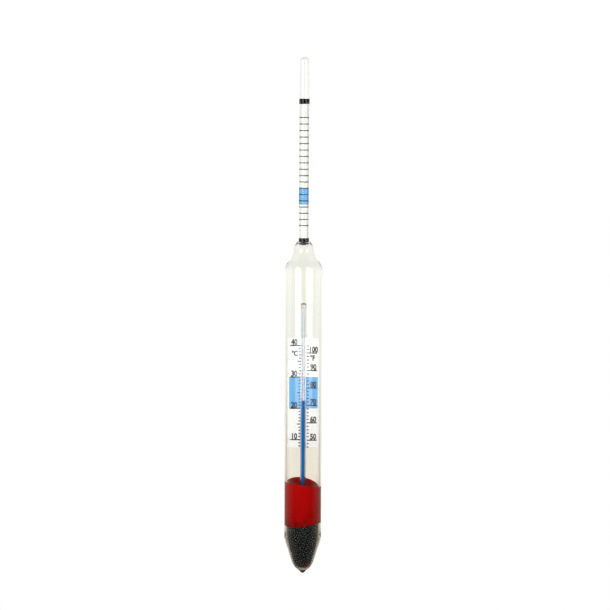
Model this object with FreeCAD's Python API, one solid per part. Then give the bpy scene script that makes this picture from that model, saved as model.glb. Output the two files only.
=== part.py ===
"""A glass hydrometer with a spirit thermometer built into its float.

Millimetres, +Z up along the axis of the glass. The origin is the lowest point of the closed
tip. -Y is the side that the thermometer's scale faces, and +X is to that reader's right.
"""
import FreeCAD, Part
import math
import os

Vector = FreeCAD.Vector

# Float: a blown glass tube with a solid foot, a long straight body and a narrow shoulder.
body_radius = 9.3
body_wall = 1.1
body_length = 132.0
foot_height = 20.5
foot_floor = 3.7          # solid glass below the cavity
shoulder_height = 16.4
neck_radius = 3.45
neck_wall = 0.7
weld_height = 0.8         # ring of glass where the stem was fused on

# Stem: a thin tube, closed with a dome in the flame, slightly drawn in above the scale.
stem_radius = 2.62
stem_wall = 0.45
stem_length = 91.1
stem_taper_length = 15.0
stem_end_radius = 2.38
dome_wall = 0.7

# Rolled paper with the density scale, held in the stem by a black band at each end.
paper_thickness = 0.12
roll_clearance = 0.1      # between the roll and the stem's bore, where the bands sit
roll_overlap_angle = 50.0
roll_below_weld = 2.0
roll_below_taper = 3.5
upper_band_height = 2.7
lower_band_height = 3.7
band_swell_clearance = 0.15  # where the cement bulges into the wider neck

# Ballast and the sealing wax poured over it.
shot_depth = 22.3
shot_gap = 0.05           # balls only touch the glass at points
wax_depth = 20.8
wax_cup_depth = 2.4       # the wax shrank as it set and left a cup
wax_rim_width = 0.35
wax_top_tilt_x = 8.2      # degrees, high on the left
wax_top_tilt_y = 2.4      # degrees, high at the back
wax_bottom_tilt_x = -6.2  # degrees, high on the right

# Thermometer: a capillary on the axis, with its bulb buried in the wax.
capillary_radius = 1.4
bore_radius = 0.525
capillary_end_wall = 2.2
bulb_radius = 6.25
bulb_wall = 0.5
bulb_rounding = 3.2
bulb_cover_above = 4.1
bulb_cover_below = 1.9
liquid_clearance = 0.03   # radial, between the liquid and the bore

# The temperature scale, a flat card behind the capillary.
card_thickness = 0.16
card_length = 55.8
card_edge_clearance = 0.05
card_above_wax = 17.8
capillary_above_card = 17.6

# The spirit at rest: its height above the card's lower end, and its rounded end.
spirit_above_card_foot = 24.1
meniscus_height = 0.8
meniscus_hollow_radius = 0.7

# Outlines as fractions of height and of radius, from the narrow end of each stretch.
shoulder_shape = [(0.19, 0.966), (0.311, 0.838), (0.427, 0.615), (0.549, 0.432),
                  (0.671, 0.313), (0.793, 0.248), (0.878, 0.154)]
foot_shape = [(0.829, 0.973), (0.629, 0.828), (0.324, 0.62), (0.185, 0.462),
              (0.128, 0.345), (0.084, 0.225), (0.044, 0.14)]
cavity_foot_shape = [(0.792, 0.927), (0.488, 0.76), (0.179, 0.585), (0.054, 0.47)]
cavity_floor_share = 0.33

# Heights that follow from the sizes above.
cavity_radius = body_radius - body_wall
stem_bore_radius = stem_radius - stem_wall
neck_bore_radius = neck_radius - neck_wall
shoulder_z = foot_height + body_length
weld_z = shoulder_z + shoulder_height
neck_bore_top_z = weld_z - 0.5 * weld_height
top_z = weld_z + stem_length
taper_z = top_z - stem_end_radius - stem_taper_length
wax_bottom_z = foot_floor + shot_depth
wax_top_z = wax_bottom_z + wax_depth
bulb_bottom_z = wax_bottom_z + bulb_cover_below
bulb_top_z = wax_top_z - bulb_cover_above
card_bottom_z = wax_top_z + card_above_wax
card_top_z = card_bottom_z + card_length
capillary_top_z = card_top_z + capillary_above_card
spirit_top_z = card_bottom_z + spirit_above_card_foot
roll_radius = stem_bore_radius - roll_clearance
roll_bottom_z = weld_z - roll_below_weld
roll_top_z = taper_z - roll_below_taper
liquid_radius = bore_radius - liquid_clearance

up = Vector(0, 0, 1)
outward = Vector(1, 0, 0)


def point(radius, height):
    return Vector(radius, 0, height)


def line(start, end):
    return Part.LineSegment(start, end).toShape()


def arc(start, middle, end):
    return Part.Arc(start, middle, end).toShape()


def smooth(points, first_direction, last_direction):
    """A smooth curve through the points, leaving and arriving in the given directions."""
    curve = Part.BSplineCurve()
    curve.interpolate(Points=points, InitialTangent=first_direction.normalize(),
                      FinalTangent=last_direction.normalize(), Scale=False)
    return curve.toShape()


def turned(edges):
    """The solid that a closed outline beside the axis makes when it is turned about it."""
    return Part.Face(Part.Wire(edges)).revolve(Vector(), up, 360)


def tube(outer, inner, bottom_z, height):
    """A straight tube about the axis."""
    base = Vector(0, 0, bottom_z)
    return Part.makeCylinder(outer, height, base).cut(Part.makeCylinder(inner, height, base))


def shoulder_edge(wide_radius, narrow_radius, top_z_of_edge):
    """The shoulder's S-shaped side, from the body up to the neck."""
    points = [point(wide_radius, shoulder_z)]
    for height, share in shoulder_shape:
        radius = narrow_radius + share * (wide_radius - narrow_radius)
        points.append(point(radius, shoulder_z + height * shoulder_height))
    points.append(point(narrow_radius, top_z_of_edge))
    return smooth(points, up, Vector(-1, 0, 1))


def foot_edge():
    """The outside of the foot, from the pulled-off tip up to the straight body."""
    points = [point(0, 0)]
    for height, share in reversed(foot_shape):
        points.append(point(share * body_radius, height * foot_height))
    points.append(point(body_radius, foot_height))
    return smooth(points, outward, up)


def cavity_foot_edge(radius, floor_z):
    """The inside of the foot, from the flat floor up to the straight bore."""
    points = [point(cavity_floor_share * radius, floor_z)]
    for height, share in reversed(cavity_foot_shape):
        points.append(point(share * radius, floor_z + height * (foot_height - floor_z)))
    points.append(point(radius, foot_height))
    return smooth(points, outward, up)


def float_outline_solid():
    """The float's outer shape, as if it were solid glass."""
    weld_low = point(neck_radius, weld_z - weld_height)
    weld_middle = point(neck_radius - 0.05, weld_z - 0.25 * weld_height)
    stem_foot = point(stem_radius, weld_z)
    edges = [
        foot_edge(),
        line(point(body_radius, foot_height), point(body_radius, shoulder_z)),
        shoulder_edge(body_radius, neck_radius, weld_z - weld_height),
        arc(weld_low, weld_middle, stem_foot),
        line(stem_foot, point(0, weld_z)),
        line(point(0, weld_z), point(0, 0)),
    ]
    return turned(edges)


def cavity_solid(gap=0):
    """The space inside the float, up to the stem's bore, or what lies a gap within it."""
    radius = cavity_radius - gap
    floor_z = foot_floor + gap
    edges = [
        line(point(0, floor_z), point(cavity_floor_share * radius, floor_z)),
        cavity_foot_edge(radius, floor_z),
        line(point(radius, foot_height), point(radius, shoulder_z)),
        shoulder_edge(radius, neck_bore_radius - gap, neck_bore_top_z),
        line(point(neck_bore_radius - gap, neck_bore_top_z), point(stem_bore_radius, weld_z)),
        line(point(stem_bore_radius, weld_z), point(0, weld_z)),
        line(point(0, weld_z), point(0, floor_z)),
    ]
    return turned(edges)


def float_body():
    return float_outline_solid().cut(cavity_solid())


def stem_tube():
    """The stem, open at the weld and closed by the dome."""
    end_bore = stem_end_radius - stem_wall
    dome_z = top_z - stem_end_radius
    inner_top_z = top_z - dome_wall
    diagonal = math.sqrt(0.5)
    outer_middle = point(stem_end_radius * diagonal, dome_z + stem_end_radius * diagonal)
    inner_rise = inner_top_z - dome_z
    inner_middle = point(end_bore * 0.74, dome_z + inner_rise * 0.67)
    edges = [
        line(point(stem_bore_radius, weld_z), point(stem_radius, weld_z)),
        line(point(stem_radius, weld_z), point(stem_radius, taper_z)),
        line(point(stem_radius, taper_z), point(stem_end_radius, dome_z)),
        arc(point(stem_end_radius, dome_z), outer_middle, point(0, top_z)),
        line(point(0, top_z), point(0, inner_top_z)),
        arc(point(0, inner_top_z), inner_middle, point(end_bore, dome_z)),
        line(point(end_bore, dome_z), point(stem_bore_radius, taper_z)),
        line(point(stem_bore_radius, taper_z), point(stem_bore_radius, weld_z)),
    ]
    return turned(edges)


def density_scale():
    """A sheet rolled into a tube, with its free edge tucked inside for part of a turn."""
    height = roll_top_z - roll_bottom_z
    inner = roll_radius - paper_thickness
    roll = tube(roll_radius, inner, roll_bottom_z, height)
    base = Vector(0, 0, roll_bottom_z)
    flap = Part.makeCylinder(inner, height, base, up, roll_overlap_angle)
    hollow = Part.makeCylinder(inner - paper_thickness, height, base)
    return roll.fuse(flap.cut(hollow)).removeSplitter()


def scale_band(bottom_z, height):
    """A ring of black cement between the paper and the glass."""
    return tube(stem_bore_radius, roll_radius, bottom_z, height)


def swollen_band():
    """The lower band, which bulges where the bore widens into the neck."""
    swell_radius = neck_bore_radius - band_swell_clearance
    swell_top_z = neck_bore_top_z - band_swell_clearance
    swell = tube(swell_radius, roll_radius, roll_bottom_z, swell_top_z - roll_bottom_z)
    return scale_band(roll_bottom_z, lower_band_height).fuse(swell).removeSplitter()


def tilted_space(height_z, tilt_x, tilt_y, above):
    """Everything above, or below, a plane through the axis at a height, tilted by degrees."""
    reach = 4 * body_radius
    low_z = 0 if above else -reach
    box = Part.makeBox(2 * reach, 2 * reach, reach, Vector(-reach, -reach, low_z))
    box.rotate(Vector(), Vector(0, 1, 0), tilt_x)
    box.rotate(Vector(), Vector(1, 0, 0), tilt_y)
    box.translate(Vector(0, 0, height_z))
    return box


def capillary_outside():
    """The capillary's outer shape, from the bulb to its round closed end."""
    straight_z = capillary_top_z - capillary_radius
    rod = Part.makeCylinder(capillary_radius, straight_z - bulb_top_z, Vector(0, 0, bulb_top_z))
    return rod.fuse(Part.makeSphere(capillary_radius, Vector(0, 0, straight_z))).removeSplitter()


def thermometer_capillary():
    """The thick-walled tube that the spirit rises in."""
    bore_top_z = capillary_top_z - capillary_end_wall
    bore = Part.makeCylinder(bore_radius, bore_top_z - bulb_top_z, Vector(0, 0, bulb_top_z))
    return capillary_outside().cut(bore)


def bulb_shape(inset):
    """The bulb's outer shape, or its inside when it is inset by the wall."""
    radius = bulb_radius - inset
    bottom_z = bulb_bottom_z + inset
    height = bulb_top_z - bulb_bottom_z - 2 * inset
    drum = Part.makeCylinder(radius, height, Vector(0, 0, bottom_z))
    rims = [edge for edge in drum.Edges if isinstance(edge.Curve, Part.Circle)]
    return drum.makeFillet(bulb_rounding - inset, rims)


def thermometer_bulb():
    """The thin glass bulb, open into the capillary's bore."""
    mouth = Part.makeCylinder(bore_radius, 2 * bulb_wall, Vector(0, 0, bulb_top_z - 1.5 * bulb_wall))
    return bulb_shape(0).cut(bulb_shape(bulb_wall)).cut(mouth)


def spirit_thread():
    """The liquid in the bore, from the bulb up to the foot of the meniscus."""
    bottom_z = bulb_top_z - bulb_wall
    height = spirit_top_z - meniscus_height - bottom_z
    return Part.makeCylinder(liquid_radius, height, Vector(0, 0, bottom_z))


def spirit_meniscus():
    """The liquid's upper end, hollowed where it climbs the glass."""
    foot_z = spirit_top_z - meniscus_height
    column = Part.makeCylinder(liquid_radius, meniscus_height, Vector(0, 0, foot_z))
    rise = math.sqrt(meniscus_hollow_radius ** 2 - liquid_radius ** 2)
    hollow = Part.makeSphere(meniscus_hollow_radius, Vector(0, 0, spirit_top_z + rise))
    return column.cut(hollow)


def thermometer_scale():
    """The card behind the capillary, as wide as the bore leaves room for."""
    back_y = capillary_radius + card_thickness
    half_width = math.sqrt(cavity_radius ** 2 - back_y ** 2) - card_edge_clearance
    corner = Vector(-half_width, capillary_radius, card_bottom_z)
    return Part.makeBox(2 * half_width, card_thickness, card_length, corner)


def wax_cup():
    """The ball that hollows the wax, leaving a narrow rim at the glass, tilted with its top."""
    half_width = cavity_radius - wax_rim_width
    radius = (half_width ** 2 + wax_cup_depth ** 2) / (2 * wax_cup_depth)
    cup = Part.makeSphere(radius, Vector(0, 0, radius - wax_cup_depth))
    cup.rotate(Vector(), Vector(0, 1, 0), wax_top_tilt_x)
    cup.rotate(Vector(), Vector(1, 0, 0), wax_top_tilt_y)
    cup.translate(Vector(0, 0, wax_top_z))
    return cup


def wax_plug():
    """Wax poured round the bulb, on top of the shot."""
    plug = cavity_solid().common(tilted_space(wax_bottom_z, wax_bottom_tilt_x, 0, True))
    plug = plug.common(tilted_space(wax_top_z, wax_top_tilt_x, wax_top_tilt_y, False))
    return plug.cut(wax_cup()).cut(bulb_shape(0)).cut(capillary_outside())


def ballast_shot():
    """The heap of shot in the foot, as one solid up to the wax."""
    below_wax = tilted_space(wax_bottom_z, wax_bottom_tilt_x, 0, False)
    return cavity_solid(shot_gap).common(below_wax)


def write_nodes():
    nodes = {
        "stem_tube": stem_tube(),
        "float_body": float_body(),
        "density_scale": density_scale(),
        "scale_band_upper": scale_band(roll_top_z - upper_band_height, upper_band_height),
        "scale_band_lower": swollen_band(),
        "thermometer_capillary": thermometer_capillary(),
        "thermometer_bulb": thermometer_bulb(),
        "bulb_spirit": bulb_shape(bulb_wall),
        "spirit_thread": spirit_thread(),
        "spirit_meniscus": spirit_meniscus(),
        "thermometer_scale": thermometer_scale(),
        "wax_plug": wax_plug(),
        "ballast_shot": ballast_shot(),
    }
    os.makedirs("parts", exist_ok=True)
    for name, shape in nodes.items():
        solid = shape.Solids[0] if len(shape.Solids) == 1 else shape
        solid.exportStep(os.path.join("parts", name + ".step"))
        print(name, "solids", len(shape.Solids), "valid", shape.isValid(),
              "volume", round(shape.Volume, 2))


write_nodes()
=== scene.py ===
"""A glass hydrometer with a spirit thermometer in its float, modelled on its CAD frame."""

import math
import random

import bmesh
import bpy
import numpy as np
from mathutils import Matrix, Vector
from mathutils.kdtree import KDTree


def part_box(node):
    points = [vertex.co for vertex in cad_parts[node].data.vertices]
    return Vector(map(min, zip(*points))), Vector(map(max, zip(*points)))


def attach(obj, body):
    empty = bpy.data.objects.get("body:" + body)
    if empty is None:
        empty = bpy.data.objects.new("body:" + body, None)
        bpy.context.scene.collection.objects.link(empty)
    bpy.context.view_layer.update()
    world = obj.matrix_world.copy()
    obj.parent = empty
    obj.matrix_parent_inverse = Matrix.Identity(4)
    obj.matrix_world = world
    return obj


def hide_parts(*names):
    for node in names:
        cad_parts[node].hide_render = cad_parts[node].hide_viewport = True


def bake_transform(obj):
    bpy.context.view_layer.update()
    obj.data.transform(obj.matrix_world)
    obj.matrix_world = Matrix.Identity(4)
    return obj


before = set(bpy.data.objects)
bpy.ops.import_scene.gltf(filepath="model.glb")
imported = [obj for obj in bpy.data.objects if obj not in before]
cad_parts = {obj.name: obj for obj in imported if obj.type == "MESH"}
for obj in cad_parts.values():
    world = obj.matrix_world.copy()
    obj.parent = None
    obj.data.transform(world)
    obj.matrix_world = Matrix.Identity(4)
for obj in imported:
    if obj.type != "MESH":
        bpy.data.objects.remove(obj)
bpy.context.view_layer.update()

bl_info = {
    "name": "Glass hydrometer",
    "version": (1, 0, 0),
    "blender": (4, 5, 0),
    "location": "View3D > Sidebar > Hydrometer",
    "description": "Models a glass hydrometer with a spirit thermometer, piece by piece",
    "category": "Add Mesh",
}

MM = 0.001


def extent(node):
    """A CAD node's lowest and highest corners in millimetres."""
    low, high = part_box(node)
    return [c / MM for c in low], [c / MM for c in high]


STEM_HIGH = extent("stem_tube")[1]
BODY_HIGH = extent("float_body")[1]
ROLL_LOW, ROLL_HIGH = extent("density_scale")
UPPER_BAND_LOW, UPPER_BAND_HIGH = extent("scale_band_upper")
LOWER_BAND_LOW, LOWER_BAND_HIGH = extent("scale_band_lower")
CAPILLARY_LOW, CAPILLARY_HIGH = extent("thermometer_capillary")
BULB_LOW, BULB_HIGH = extent("thermometer_bulb")
THREAD_LOW = extent("spirit_thread")[0]
MENISCUS_LOW, MENISCUS_HIGH = extent("spirit_meniscus")
CARD_LOW, CARD_HIGH = extent("thermometer_scale")

BODY_RADIUS = BODY_HIGH[0]
WELD_Z = BODY_HIGH[2]
STEM_RADIUS = STEM_HIGH[0]
TOP_Z = STEM_HIGH[2]
STEM_BORE = UPPER_BAND_HIGH[0]
CAPILLARY_RADIUS = CAPILLARY_HIGH[0]

FOOT_FLOOR = 3.7
FOOT_HEIGHT = 20.5
# The foot's curve runs out gently above its nominal height.
FOOT_EASE = 1.8
SHOULDER_HEIGHT = 16.4
SHOULDER_Z = WELD_Z - SHOULDER_HEIGHT
NECK_RADIUS = 3.45
NECK_WALL = 0.7
WELD_HEIGHT = 0.8
STEM_END_RADIUS = 2.38
STEM_TAPER_LENGTH = 15.0
DOME_WALL = 0.7

# Outlines as shares of height and of radius, from the narrow end of each stretch.
SHOULDER_SHAPE = [(0.19, 0.966), (0.311, 0.838), (0.427, 0.615), (0.549, 0.432),
                  (0.671, 0.313), (0.793, 0.248), (0.878, 0.154)]
FOOT_SHAPE = [(0.829, 0.973), (0.629, 0.828), (0.324, 0.62), (0.185, 0.462),
              (0.128, 0.345), (0.084, 0.225), (0.044, 0.14)]
CAVITY_FOOT_SHAPE = [(0.792, 0.927), (0.488, 0.76), (0.179, 0.585), (0.054, 0.47)]
CAVITY_FLOOR_SHARE = 0.33

WAX_TOP_LEAN_X = -math.tan(math.radians(8.2))
WAX_TOP_LEAN_Y = math.tan(math.radians(2.4))
WAX_BOTTOM_LEAN_X = math.tan(math.radians(6.2))
WAX_BOTTOM_Z = FOOT_FLOOR + 22.3
WAX_TOP_Z = WAX_BOTTOM_Z + 20.8
WAX_CUP_DEPTH = 2.4
WAX_RIM_WIDTH = 0.35
# Red stains on the balls: the middle of each, and how far round it they reach.
WAX_DRIPS = [((6.6, -3.0, 16.5), 2.6), ((6.6, -2.6, 13.0), 2.0), ((2.6, -2.8, 5.0), 2.0)]

# The density scale: its first mark, and how far the stem sinks as the liquid thins.
FIRST_MARK_Z = 229.9
MARK_COUNT = 18
FLOAT_LENGTH = 1981.8
DENSITY_STEP = 0.00162

# The temperature scale: where 20 degrees stands on the card, and one degree's length.
TWENTY_Z = 84.55
DEGREE = 1.597
# The second scale was printed a hair lower than the first.
FAHRENHEIT_DROP = 0.25


def linear(code):
    """An sRGB hex colour as the linear values that shaders use."""
    values = [int(code[i:i + 2], 16) / 255 for i in (1, 3, 5)]
    return tuple(v / 12.92 if v <= 0.04045 else ((v + 0.055) / 1.055) ** 2.4 for v in values)


def length_property(name, description, size, low, high):
    """A length that a user may change, given in millimetres."""
    return bpy.props.FloatProperty(
        name=name, description=description, default=size * MM, min=low * MM, max=high * MM,
        unit="LENGTH", precision=5)


class HydrometerSizes(bpy.types.PropertyGroup):
    """Sizes that a user may change."""

    body_wall: length_property("Float wall", "Thickness of the float's glass", 1.1, 0.5, 1.5)
    bore_radius: length_property("Bore radius", "Radius of the thermometer's bore", 0.525, 0.2, 1)
    ball_radius: length_property("Shot radius", "Radius of one ball of shot", 0.61, 0.5, 1)
    mark_width: length_property("Mark width", "Width of a mark on the card", 0.58, 0.1, 0.8)
    ring_width: length_property("Ring width", "Width of a ring on the roll", 0.48, 0.1, 0.6)
    numeral_height: length_property("Numeral height", "Height of the card's numerals", 3.1, 1, 4)


def colour_property(name, description, code):
    """A colour that a user may change, given as sRGB hex."""
    return bpy.props.FloatVectorProperty(
        name=name, description=description, default=linear(code),
        subtype="COLOR", size=3, min=0.0, max=1.0)


class HydrometerColours(bpy.types.PropertyGroup):
    """Colours that a user may change."""

    glass: colour_property("Glass", "Tint of the soda-lime glass", "#FDFDFB")
    # The tip colour is painted shade: the grey of the solid glass tip and its dark end.
    tip: colour_property("Tip", "Grey glass of the pulled-off tip", "#8F897C")
    capillary: colour_property("Capillary", "Tint of the capillary's glass", "#F1F5FA")
    paper: colour_property("Paper", "Rolled paper of the density scale", "#F1F0EA")
    card: colour_property("Card", "Temperature card", "#F6F6F2")
    ink: colour_property("Black ink", "Printed marks and numerals", "#15161A")
    blue_ink: colour_property("Blue ink", "Printed working ranges", "#5FA2D8")
    spirit: colour_property("Spirit", "Dyed thermometer spirit", "#1A68B3")
    wax: colour_property("Wax", "Sealing wax", "#A40302")
    wax_dark: colour_property("Dark wax", "The wax's darker clouds", "#5A0803")
    # The dark wax colour is both the wax's clouds and painted shade towards its bottom and in its cup.
    wax_cup: colour_property("Wax cup", "Wax in the shaded cup on top", "#A51B0C")
    cement: colour_property("Cement", "Black cement bands", "#0C0D0C")
    shot: colour_property("Shot", "Steel shot", "#32322F")


def sizes():
    return bpy.context.scene.hydrometer_sizes


def colours():
    return bpy.context.scene.hydrometer_colours


# Helpers for modelling


def select_only(*objects):
    """Leaves edit mode and selects these objects alone, the first one active."""
    if bpy.context.object is not None and bpy.context.object.mode != "OBJECT":
        bpy.ops.object.mode_set(mode="OBJECT")
    bpy.ops.object.select_all(action="DESELECT")
    for obj in objects:
        obj.select_set(True)
    if objects:
        bpy.context.view_layer.objects.active = objects[0]


def smooth_line(points, start_way, end_way, steps=10):
    """Points along the smooth line through the given ones, with its two end directions given."""
    p = np.array(points, float)
    gaps = np.linalg.norm(np.diff(p, axis=0), axis=1)
    count = len(p)
    matrix = np.zeros((count, count))
    ways = np.zeros((count, 2))
    matrix[0, 0] = matrix[-1, -1] = 1
    ways[0] = np.array(start_way) / np.linalg.norm(start_way)
    ways[-1] = np.array(end_way) / np.linalg.norm(end_way)
    for i in range(1, count - 1):
        before, after = 1 / gaps[i - 1], 1 / gaps[i]
        matrix[i, i - 1:i + 2] = before, 2 * (before + after), after
        ways[i] = 3 * ((p[i] - p[i - 1]) * before ** 2 + (p[i + 1] - p[i]) * after ** 2)
    ways = np.linalg.solve(matrix, ways)
    found = []
    for i in range(count - 1):
        for t in np.arange(steps) / steps:
            a = 2 * t ** 3 - 3 * t ** 2 + 1
            b = t ** 3 - 2 * t ** 2 + t
            c = 3 * t ** 2 - 2 * t ** 3
            d = t ** 3 - t ** 2
            found.append(tuple(a * p[i] + b * gaps[i] * ways[i]
                               + c * p[i + 1] + d * gaps[i] * ways[i + 1]))
    found.append(tuple(p[-1]))
    return found


def rounded(centre, radius, start, end, steps):
    """Points on an arc beside the axis, its angles in degrees from outward towards up."""
    angles = [math.radians(start + (end - start) * i / steps) for i in range(steps + 1)]
    return [(centre[0] + radius * math.cos(a), centre[1] + radius * math.sin(a)) for a in angles]


def first_vertex(at):
    """A new piece in edit mode that is a single vertex, at a place in metres."""
    select_only()
    bpy.ops.mesh.primitive_plane_add(size=MM)
    bpy.ops.object.mode_set(mode="EDIT")
    bpy.ops.mesh.select_all(action="SELECT")
    bpy.ops.mesh.merge(type="CENTER")
    bpy.ops.transform.translate(value=at)
    return bpy.context.object


def drawn_outline(points):
    """A line of vertices through (radius, height) points, drawn one extrusion at a time."""
    line = first_vertex((points[0][0] * MM, 0, points[0][1] * MM))
    for (r0, z0), (r1, z1) in zip(points, points[1:]):
        step = ((r1 - r0) * MM, 0, (z1 - z0) * MM)
        bpy.ops.mesh.extrude_vertices_move(TRANSFORM_OT_translate={"value": step})
    return line


def turned(points, segments):
    """A shell spun about the upright axis from a closed outline beside it."""
    piece = drawn_outline(points)
    bpy.ops.mesh.select_all(action="SELECT")
    bpy.ops.mesh.spin(steps=segments, angle=2 * math.pi, center=(0, 0, 0), axis=(0, 0, 1))
    bpy.ops.mesh.select_all(action="SELECT")
    bpy.ops.mesh.remove_doubles(threshold=2e-6)
    bpy.ops.mesh.delete_loose()
    bpy.ops.object.mode_set(mode="OBJECT")
    face_outwards(piece)
    return piece


def turn_faces_over(piece):
    select_only(piece)
    bpy.ops.object.mode_set(mode="EDIT")
    bpy.ops.mesh.select_all(action="SELECT")
    bpy.ops.mesh.flip_normals()
    bpy.ops.object.mode_set(mode="OBJECT")


def face_outwards(piece):
    """Turns every face over when the closed shell's faces point inwards."""
    shell = bmesh.new()
    shell.from_mesh(piece.data)
    inside_out = shell.calc_volume(signed=True) < 0
    shell.free()
    if inside_out:
        turn_faces_over(piece)


def apply_all(piece):
    """Applies the piece's modifiers in order."""
    select_only(piece)
    for modifier in list(piece.modifiers):
        bpy.ops.object.modifier_apply(modifier=modifier.name)


def let_light_in(glass):
    """Lets lamps light what is behind this glass, as clear glass does."""
    glass.visible_shadow = False
    glass.visible_diffuse = False


def smooth_shading(piece, angle=35):
    select_only(piece)
    bpy.ops.object.shade_smooth_by_angle(angle=math.radians(angle))


def joined(pieces):
    select_only(*pieces)
    bpy.ops.object.join()
    return bpy.context.object


def place(piece):
    """Puts the piece's place into its mesh, so that its object stays at the origin."""
    select_only(piece)
    bpy.ops.object.transform_apply(location=True, rotation=True, scale=True)


def finish_piece(piece, name, material, replaced=(), body="float"):
    """Names the piece, gives it its material and fastens it to its body."""
    piece.name = name
    piece.data.name = name
    piece.data.materials.clear()
    piece.data.materials.append(material)
    if body:
        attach(piece, body)
    if replaced:
        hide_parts(*replaced)
    return piece


# Helpers for materials


def add_node(tree, kind, settings=None, links=None):
    """Adds a shader node with its settings and its links from other nodes' outputs."""
    made = tree.nodes.new(kind)
    for name, value in (settings or {}).items():
        if isinstance(name, int) or name in made.inputs:
            made.inputs[name].default_value = value
        else:
            setattr(made, name, value)
    for name, source in (links or {}).items():
        tree.links.new(source, made.inputs[name])
    return made


def new_material(name, surface):
    """A Principled material. Returns it with its tree, its shader and the place on the piece."""
    material = bpy.data.materials.new(name)
    material.use_nodes = True
    tree = material.node_tree
    tree.nodes.clear()
    shader = add_node(tree, "ShaderNodeBsdfPrincipled", surface)
    add_node(tree, "ShaderNodeOutputMaterial", None, {"Surface": shader.outputs["BSDF"]})
    return material, tree, shader, add_node(tree, "ShaderNodeTexCoord").outputs["Object"]


def rgba(colour):
    return (*colour[:3], 1.0)


def shade_of(colour, factor):
    return tuple(min(1.0, c * factor) for c in colour[:3])


def noise(tree, way, scale, detail, **more):
    """Noise with as many patches to the metre as its scale says."""
    settings = {"Scale": scale, "Detail": detail, **more}
    return add_node(tree, "ShaderNodeTexNoise", settings, {"Vector": way}).outputs["Fac"]


def stretched(tree, way, scale):
    return add_node(tree, "ShaderNodeMapping", {"Scale": scale}, {"Vector": way}).outputs["Vector"]


def split(tree, way, axis):
    return add_node(tree, "ShaderNodeSeparateXYZ", None, {"Vector": way}).outputs[axis]


def mapped(tree, value, low, high, start=0.0, end=1.0):
    """A value between low and high, brought to between start and end."""
    settings = {"From Min": low, "From Max": high, "To Min": start, "To Max": end}
    return add_node(tree, "ShaderNodeMapRange", settings, {"Value": value}).outputs["Result"]


def ramp(tree, value, stops):
    """Colours along a value, given as (position, colour)."""
    made = add_node(tree, "ShaderNodeValToRGB", None, {"Fac": value})
    elements = made.color_ramp.elements
    while len(elements) < len(stops):
        elements.new(0.5)
    for element, (position, colour) in zip(elements, stops):
        element.position = position
        element.color = rgba(colour)
    return made.outputs["Color"]


def maths(tree, operation, *terms):
    """The result of a sum, whose terms are numbers or other nodes' outputs."""
    made = add_node(tree, "ShaderNodeMath", {"operation": operation})
    for i, term in enumerate(terms):
        if isinstance(term, (int, float)):
            made.inputs[i].default_value = term
        else:
            tree.links.new(term, made.inputs[i])
    return made.outputs["Value"]


def mixed(tree, share, first, second):
    """A mix of two colours, given as values or as other nodes' outputs."""
    made = add_node(tree, "ShaderNodeMixRGB", None, {"Fac": share})
    for name, colour in (("Color1", first), ("Color2", second)):
        if isinstance(colour, bpy.types.NodeSocket):
            tree.links.new(colour, made.inputs[name])
        else:
            made.inputs[name].default_value = rgba(colour)
    return made.outputs["Color"]


def paint(tree, shader, colour):
    tree.links.new(colour, shader.inputs["Base Color"])


def roughen(tree, shader, height, strength, distance):
    """Bumps the surface by a height, of a depth in metres."""
    bump = add_node(tree, "ShaderNodeBump", {"Strength": strength, "Distance": distance},
                    {"Height": height})
    tree.links.new(bump.outputs["Normal"], shader.inputs["Normal"])


def drawn_glass(name, tint, wave):
    """Soda-lime glass drawn in a flame. The eye sees long soft waves; its solid tip is painted grey,
    near black at its end, as painted shade.
    """
    material, tree, shader, way = new_material(name, {
        "Roughness": 0.0, "IOR": 1.52, "Transmission Weight": 1.0})
    # Painted shade: glass below the cavity floor turns grey and, at its very end, near black.
    rise = mapped(tree, split(tree, way, "Z"), 0.0, FOOT_FLOOR * MM)
    painted_shade_end = shade_of(colours().tip, 0.06)
    paint(tree, shader, ramp(tree, rise, [(0.3, painted_shade_end), (0.42, colours().tip),
                                          (0.92, colours().tip), (1.0, tint)]))
    # Waves about 12 mm long up the tube and twice as short across it.
    waves = noise(tree, stretched(tree, way, (160, 160, 80)), 1.0, 1.0, Roughness=0.4)
    roughen(tree, shader, waves, 1.0, wave)
    return material


def coated_paper(name, colour, roughness):
    """White paper for printing, calendered. The eye sees a faint cloud in it and no gloss."""
    material, tree, shader, way = new_material(name, {"Roughness": roughness, "IOR": 1.5})
    clouds = noise(tree, way, 900.0, 6.0)
    paint(tree, shader, ramp(tree, clouds, [(0.3, shade_of(colour, 0.94)), (0.7, colour)]))
    # Fibres drawn some 0.1 mm wide, coarser than real ones.
    roughen(tree, shader, noise(tree, way, 9000.0, 3.0), 0.2, 0.00001)
    return material


def printing_ink(name, colour):
    """Offset ink on paper. The eye sees it fade a little where it lies thin."""
    material, tree, shader, way = new_material(name, {"Roughness": 0.5, "IOR": 1.5})
    mottle = noise(tree, way, 3500.0, 4.0)
    paint(tree, shader, ramp(tree, mottle, [(0.35, colour), (0.75, shade_of(colour, 1.25))]))
    return material


def black_cement(name):
    """Pitch cement melted against the glass. The eye sees flat black, a little brown where thin."""
    material, tree, shader, way = new_material(name, {
        "Roughness": 0.5, "IOR": 1.6, "Specular IOR Level": 0.0})
    lumps = noise(tree, way, 900.0, 3.0)
    black = colours().cement
    paint(tree, shader, ramp(tree, lumps, [(0.4, shade_of(black, 0.4)),
                                           (0.8, shade_of(black, 2.0))]))
    roughen(tree, shader, lumps, 0.4, 0.00005)
    return material


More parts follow.
